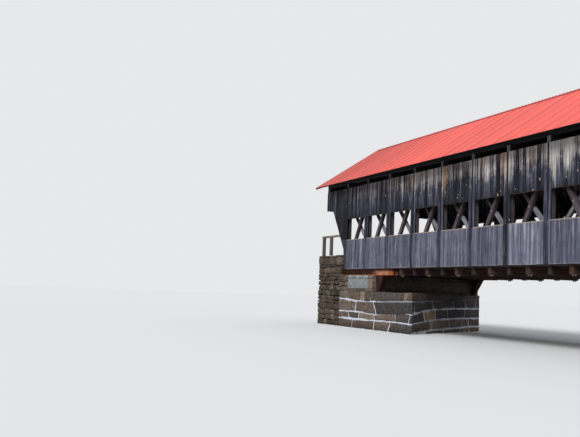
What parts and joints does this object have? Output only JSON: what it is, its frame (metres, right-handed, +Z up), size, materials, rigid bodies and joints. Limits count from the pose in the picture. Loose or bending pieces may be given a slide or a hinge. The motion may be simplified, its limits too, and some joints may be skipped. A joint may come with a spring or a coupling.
{
  "type": "covered bridge",
  "caption": "covered timber road bridge with trussed, boarded sides, square windows and a red metal roof on cut stone abutments",
  "frame": {"origin": "middle of the span on the centreline, at the foot of the masonry", "axes": "X along the bridge, Y across it, Z up; the near side of the picture faces -Y and its far end is at -X"},
  "size_m": [38.164, 7.6, 9.9676],
  "materials": {
    "masonry": "split granite laid in mortar, white pointing",
    "seat_stone": "pale grey granite blocks",
    "rubble": "dry laid field stone",
    "fill": "packed gravel and earth between the wing walls",
    "truss_timber": "old sawn timber, dark red brown",
    "brace_timber": "old sawn timber, weathered grey",
    "bolster_timber": "rust orange stained timber",
    "floor_timber": "rough sawn timber",
    "deck_plank": "worn planks",
    "roof_timber": "rough sawn timber in shade",
    "roof_metal": "faded red standing seam sheet",
    "siding_board": "weathered grey vertical boards",
    "siding_upper_board": "weathered dark boards with bare streaks",
    "nailer_timber": "rough sawn timber",
    "rail_timber": "weathered squared timber"
  },
  "bodies": {
    "root": {"abutment_bases": "masonry", "abutment_seats": "seat_stone", "approach_fills": "fill", "approach_rails": "rail_timber", "barge_boards_far": "roof_timber", "barge_boards_near": "roof_timber", "bolster_brackets": "bolster_timber", "bolsters": "bolster_timber", "counterbraces_far": "brace_timber", "counterbraces_near": "brace_timber", "deck_planks": "deck_plank", "end_panels": "siding_upper_board", "floor_beams": "floor_timber", "hood_struts": "roof_timber", "lateral_braces": "roof_timber", "lower_chord_far": "truss_timber", "lower_chord_near": "truss_timber", "main_braces_far": "truss_timber", "main_braces_near": "truss_timber", "nailers": "nailer_timber", "portal_gables": "siding_upper_board", "rafters": "roof_timber", "rail_posts": "rail_timber", "ridge_board": "roof_timber", "ridge_cap": "roof_metal", "roof_slope_far": "roof_metal", "roof_slope_near": "roof_metal", "siding_lower_far": "siding_board", "siding_lower_near": "siding_board", "siding_upper_far": "siding_upper_board", "siding_upper_near": "siding_upper_board", "stringers": "floor_timber", "tie_beams": "roof_timber", "truss_posts_far": "truss_timber", "truss_posts_near": "truss_timber", "upper_chord_far": "truss_timber", "upper_chord_near": "truss_timber", "wall_plates": "roof_timber", "window_piers_far": "siding_upper_board", "window_piers_near": "siding_upper_board", "wing_walls": "rubble"}
  },
  "joints": []
}
